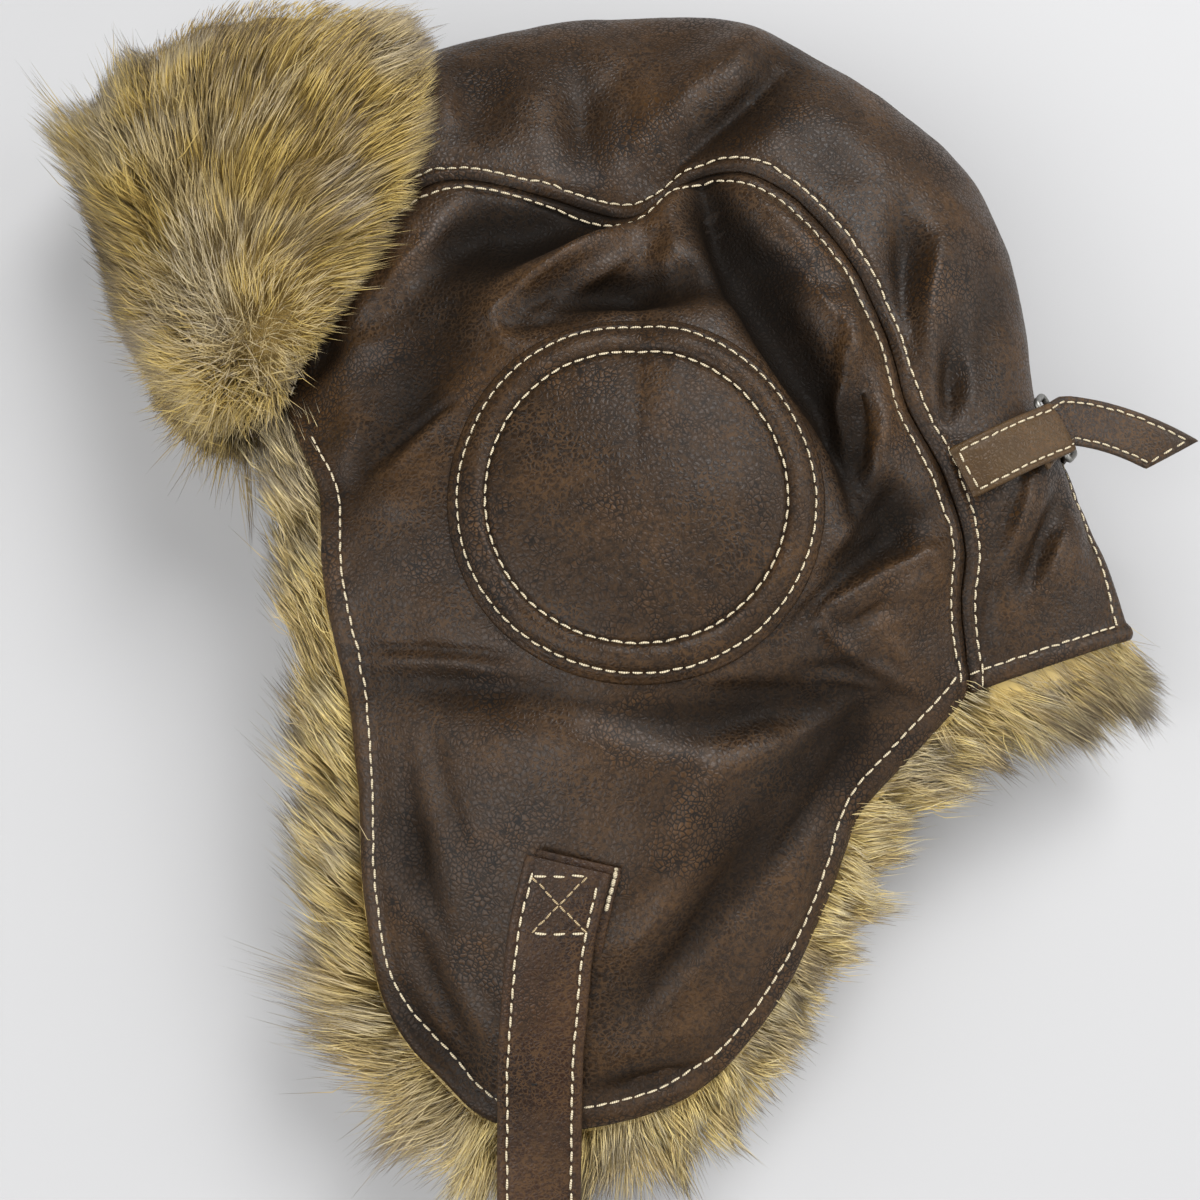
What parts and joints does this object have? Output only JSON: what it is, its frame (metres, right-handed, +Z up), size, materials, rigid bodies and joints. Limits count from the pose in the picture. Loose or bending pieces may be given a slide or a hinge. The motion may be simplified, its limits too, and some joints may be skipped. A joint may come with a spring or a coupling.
{
  "type": "aviator cap",
  "caption": "Soft leather aviator cap with fur-lined ear flaps, a turned-up fur peak, round ear patches, a back adjusting strap and a chin strap, lying on its side.",
  "frame": {"origin": "centre of the lower ear patch's flat face, where the cap rests on the ground", "axes": "+Z up, out through the upper ear; +X to the back of the cap; +Y to the top of the crown"},
  "size_m": [0.3483, 0.452, 0.1174],
  "materials": {
    "crown_leather": "distressed dark brown leather, semi-gloss, cream topstitching",
    "patch_leather": "distressed dark brown leather, padded, semi-gloss",
    "strap_leather": "smooth reddish brown leather, edge-stitched",
    "fur": "deep golden fur with dark tips",
    "steel": "grey metal, satin"
  },
  "bodies": {
    "root": {"side_panel_left": "crown_leather", "side_panel_right": "crown_leather", "centre_panel": "crown_leather", "ear_patch_left": "patch_leather", "ear_patch_right": "patch_leather", "peak": "crown_leather", "peak_fur": "fur", "flap_fur_left": "fur", "flap_fur_right": "fur", "nape_fur_left": "fur", "nape_fur_right": "fur", "back_strap_left": "strap_leather", "back_strap_right": "strap_leather", "back_ring": "steel", "chin_strap_left": "strap_leather", "chin_strap_right": "strap_leather", "chin_buckle": "steel", "chin_tab_left": "strap_leather"}
  },
  "joints": []
}
